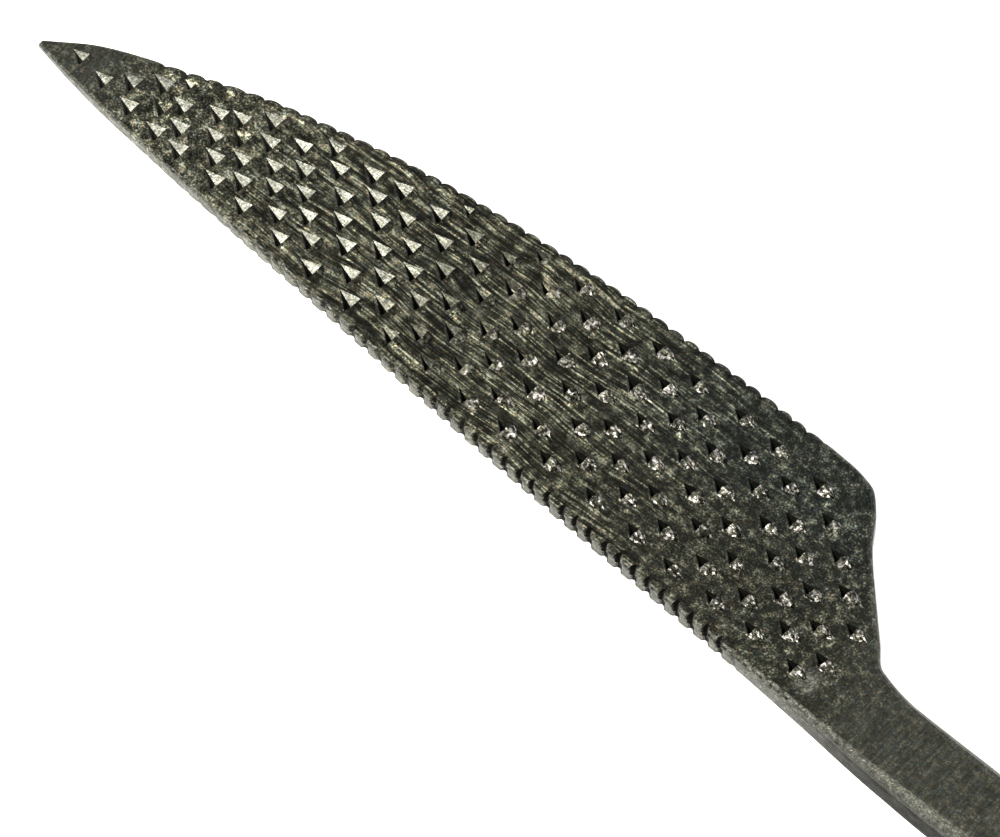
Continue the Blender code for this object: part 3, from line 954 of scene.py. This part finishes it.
ferrule_profile = []
for degrees in range(0, 91, 15):
    turn = math.radians(degrees)
    ferrule_profile.append((ferrule_x + FERRULE_ROUND * (1 - math.sin(turn)),
                            FERRULE_FRONT - FERRULE_ROUND * (1 - math.cos(turn))))
ferrule_profile.reverse()
ferrule_profile.insert(0, (ferrule_x, mouth_radius + 0.15 * MM))
for step in range(1, FERRULE_STEPS):
    along_ferrule = FERRULE_ROUND + (FERRULE_LENGTH - 0.25 * MM - FERRULE_ROUND) * step / FERRULE_STEPS
    ferrule_profile.append((ferrule_x + along_ferrule, ferrule_radius(along_ferrule)))
ferrule_profile += [
    (ferrule_end - 0.1 * MM, FERRULE_BACK - 0.08 * MM), (ferrule_end, FERRULE_BACK - 0.25 * MM),
    (ferrule_end, FERRULE_BACK - FERRULE_WALL), (ferrule_x + FERRULE_WALL, FERRULE_FRONT - FERRULE_WALL),
    (ferrule_x + FERRULE_WALL, mouth_radius + 0.1 * MM), (ferrule_x + 0.8 * FERRULE_WALL, mouth_radius),
    (ferrule_x + 0.2 * FERRULE_WALL, mouth_radius),
]
ferrule_form = bmesh.new()
ferrule_hoops = [
    add_hoop(ferrule_form, x, lambda angle: around(ferrule_dent(x, radius, angle), angle))
    for x, radius in ferrule_profile]
for one, other in zip(ferrule_hoops, ferrule_hoops[1:] + ferrule_hoops[:1]):
    join_hoops(ferrule_form, one, other)
ferrule = finish_piece("brass_ferrule", ferrule_form, 35)

BRASS_TONES = [(0.34, (0.28, 0.185, 0.070)), (0.50, (0.46, 0.33, 0.140)), (0.66, (0.64, 0.49, 0.235))]
TARNISH = (0.20, 0.125, 0.055)
BRASS_PIT = (0.12, 0.075, 0.035)
RIM_BAND = (0.4 * MM, 2.2 * MM)
brass, brass_tree, brass_shader = new_material("drawn_brass")
brass_place, brass_split = surface_place(brass_tree)
turning = use_group(brass_tree, lines, Along=6500.0, Across=55.0)
brass_mottle = use_group(brass_tree, mottle, Grain=2600.0)
from_front = combine("SUBTRACT", brass_split["X"], blade_low.x + ferrule_x)
rim_tarnish = combine(
    "MAXIMUM", ramp(from_front, RIM_BAND[1], RIM_BAND[0]),
    ramp(from_front, FERRULE_LENGTH - RIM_BAND[1], FERRULE_LENGTH - RIM_BAND[0]))
tarnish_cloud = noise_value(brass_place, 160.0, 5.0, 0.62, 0.6)
tarnish = times(ramp(plus(tarnish_cloud, times(rim_tarnish, 0.16)), 0.50, 0.68), 0.8)
brass_tone = plus(times(turning["Tone"], 0.55), times(brass_mottle["Tone"], 0.45))
brass_body = colour_ramp(brass_tone, BRASS_TONES)
brass_body = mix_colour(times(brass_mottle["Pits"], 0.6), brass_body, BRASS_PIT)
brass_body = mix_colour(tarnish, brass_body, TARNISH)
brass_rough = plus(ramp(turning["Tone"], 0.35, 0.65, 0.22, 0.34), times(tarnish, 0.25))
feed(brass_shader.inputs["Base Color"], brass_body)
feed(brass_shader.inputs["Metallic"], 1.0)
feed(brass_shader.inputs["Roughness"], brass_rough)
brass_height = combine("SUBTRACT", turning["Tone"], times(brass_mottle["Pits"], 0.5))
raise_finish(brass_shader, brass_height, 0.35, 0.06 * MM)
ferrule.data.materials.append(brass)
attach(ferrule, "root")
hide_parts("ferrule")


# --- Handle --------------------------------------------------------------------------------------
# Beech, turned between centres with the grain along the tool, oiled and darkened by the hand. The
# hot tang burned its own bore into the front end, and the lathe's centre left its mark in the butt.
TOOL_LENGTH = 222.0 * MM
GAP = 0.3 * MM
HANDLE_LENGTH = TOOL_LENGTH - SHANK_END - GAP
BUTT_FLAT_RADIUS = 7.5 * MM
HANDLE_RADIUS = 13.5 * MM
HANDLE_BELLY = [
    (0.0010, 0.0087), (0.0045, 0.0108), (0.0130, 0.0125), (0.0280, HANDLE_RADIUS), (0.0450, 0.0130),
    (0.0650, 0.0110), (0.0800, 0.0092), (0.0880, 0.0093), (0.0940, 0.0100), (0.0970, 0.0091),
]
SPIGOT = (FERRULE_FRONT - FERRULE_WALL - GAP, FERRULE_BACK - FERRULE_WALL - GAP)
SPIGOT_LENGTH = FERRULE_LENGTH - FERRULE_WALL
SCRIBED_LINES = (0.0905, 0.0350, 0.0325)
SCRIBE_DEPTH = 0.22 * MM
SCRIBE_WIDTH = 0.26 * MM
CENTRE_MARK = (1.1 * MM, 0.9 * MM)
MOUTH_ROUND = 0.4 * MM
BORE_FLARE = 0.25 * MM
WORN_DEPTH = 0.05 * MM
HANDLE_STEPS = 300


def belly_radius(height):
    """The turned outside at a height above the butt, with its scribed lines."""
    radius = smooth_through(HANDLE_BELLY, height)
    for line in SCRIBED_LINES:
        radius -= SCRIBE_DEPTH * math.exp(-((height - line) / SCRIBE_WIDTH) ** 2 * 2)
    return radius


def worn_radius(radius, height, angle):
    """The turned radius, with shallow hollows worn by the hand between butt and spigot."""
    if not 2 * MM < height < 96 * MM:
        return radius
    where = Vector(((TOOL_LENGTH - height) / (16 * MM), math.cos(angle) * 1.3, math.sin(angle) * 1.3))
    return radius + min(WORN_DEPTH * noise.noise(where), 0.0)


def bore_corner(x, flare, angle):
    """A point of the burned bore: the tang's own section with a gap round it, flared at the mouth."""
    half_width = smooth_through(CONVEX_EDGE, x) + GAP
    half_height = half_thickness(x) + GAP
    reach = min(half_width / max(abs(math.cos(angle)), 1e-6), half_height / max(abs(math.sin(angle)), 1e-6))
    return around(reach + flare, angle)


top_height, top_radius = HANDLE_BELLY[-1]
butt_height = HANDLE_BELLY[0][0]
outside = [
    (SPIGOT[0] - MOUTH_ROUND, HANDLE_LENGTH), (SPIGOT[0], HANDLE_LENGTH - MOUTH_ROUND),
    (SPIGOT[1], HANDLE_LENGTH - SPIGOT_LENGTH), (top_radius - 0.05 * MM, top_height + 0.15 * MM),
]
for step in range(HANDLE_STEPS + 1):
    height = blend_values((top_height, butt_height), step / HANDLE_STEPS)
    outside.append((belly_radius(height), height))
outside += [
    (8.0 * MM, 0.25 * MM), (BUTT_FLAT_RADIUS, 0.0), (4.0 * MM, 0.0), (CENTRE_MARK[0], 0.0),
    (0.3 * CENTRE_MARK[0], CENTRE_MARK[1]),
]
wood_form = bmesh.new()
wood_hoops = [
    add_hoop(wood_form, TOOL_LENGTH - height, lambda angle: around(worn_radius(radius, height, angle), angle))
    for radius, height in outside]
butt_centre = wood_form.verts.new((TOOL_LENGTH - CENTRE_MARK[1], 0.0, 0.0))
bore_places = [
    (TOOL_LENGTH - HANDLE_LENGTH, BORE_FLARE), (TOOL_LENGTH - (HANDLE_LENGTH - 0.5 * MM), 0.0),
    (TOOL_LENGTH - (HANDLE_LENGTH - 0.5 * (TANG_END - SHANK_END)), 0.0), (TANG_END + GAP, 0.0),
]
bore_hoops = [
    add_hoop(wood_form, x, lambda angle: bore_corner(x, flare, angle))
    for x, flare in bore_places]
bore_end = wood_form.verts.new((TANG_END + GAP, 0.0, 0.0))
for k in range(TURNED_SIDES):
    wood_form.faces.new((wood_hoops[-1][k - 1], wood_hoops[-1][k], butt_centre))
for k in range(TURNED_SIDES):
    wood_form.faces.new((bore_hoops[-1][k], bore_hoops[-1][k - 1], bore_end))
mouth = (bore_hoops[0], wood_hoops[0])
for one, other in [*zip(wood_hoops, wood_hoops[1:]), mouth, *zip(bore_hoops[1:], bore_hoops)]:
    join_hoops(wood_form, one, other)
handle = finish_piece("beech_handle", wood_form, 30)

PITH = Vector((0.0, 21.0 * MM, -34.0 * MM))
RING_PITCH = 2.1 * MM
BEECH_TONES = [(0.30, (0.19, 0.092, 0.040)), (0.50, (0.275, 0.145, 0.066)), (0.70, (0.36, 0.205, 0.102))]
LATE_WOOD = (0.165, 0.075, 0.032)
FLECK = (0.095, 0.040, 0.017)
SCORCH = (0.018, 0.011, 0.007)
GRIME = (0.085, 0.043, 0.022)
beech, beech_tree, beech_shader = new_material("turned_beech")
beech_place, beech_split = surface_place(beech_tree)
beech_along = combine("SUBTRACT", beech_split["X"], blade_low.x)
wander = times(combine("SUBTRACT", noise_value(beech_place, 22.0, 2.0), 0.5), 0.012)
ring_y = combine("SUBTRACT", beech_split["Y"], (tool_origin + PITH).y)
ring_z = combine("SUBTRACT", beech_split["Z"], (tool_origin + PITH).z)
ring_y = plus(ring_y, wander, times(beech_along, 0.035))
from_pith = combine("POWER", plus(times(ring_y, ring_y), times(ring_z, ring_z)), 0.5)
ring_turn = calculate("FRACT", combine("DIVIDE", from_pith, RING_PITCH))
late_wood = times(ramp(ring_turn, 0.35, 0.97), ramp(ring_turn, 1.0, 0.975))
fibres = use_group(beech_tree, lines, Along=110.0, Across=3200.0)
rays = use_group(beech_tree, lines, Along=520.0, Across=3600.0)
beech_mottle = use_group(beech_tree, mottle, Grain=1500.0)
wood_tone = plus(times(fibres["Tone"], 0.6), times(beech_mottle["Tone"], 0.4))
wood = colour_ramp(wood_tone, BEECH_TONES)
wood = mix_colour(times(late_wood, 0.42), wood, LATE_WOOD)
wood = mix_colour(times(rays["Cut"], 0.75), wood, FLECK)
grime_cloud = noise_value(beech_place, 75.0, 4.0, 0.6)
grip = times(ramp(beech_along, 0.128, 0.160), ramp(beech_along, 0.222, 0.196))
grime = times(ramp(grime_cloud, 0.42, 0.68), plus(times(grip, 0.45), 0.15))
wood = mix_colour(grime, wood, GRIME)
scribed = []
for line in SCRIBED_LINES:
    off_line = calculate("ABSOLUTE", combine("SUBTRACT", beech_along, TOOL_LENGTH - line))
    scribed.append(ramp(off_line, 1.5 * SCRIBE_WIDTH, 0.3 * SCRIBE_WIDTH))
wood = mix_colour(times(combine("MAXIMUM", *scribed), 0.75), wood, GRIME)
scorched = ramp(beech_along, SHANK_END + 3.0 * MM, SHANK_END + 0.5 * MM)
wood = mix_colour(times(scorched, 0.85), wood, SCORCH)
feed(beech_shader.inputs["Base Color"], wood)
feed(beech_shader.inputs["Roughness"], plus(ramp(wood_tone, 0.35, 0.65, 0.46, 0.36), times(rays["Cut"], 0.2)))
feed(beech_shader.inputs["Coat Weight"], 0.25)
feed(beech_shader.inputs["Coat Roughness"], 0.28)
raise_finish(beech_shader, combine("SUBTRACT", wood_tone, times(rays["Cut"], 0.4)), 0.4, 0.12 * MM)
handle.data.materials.append(beech)
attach(handle, "root")
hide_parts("handle")
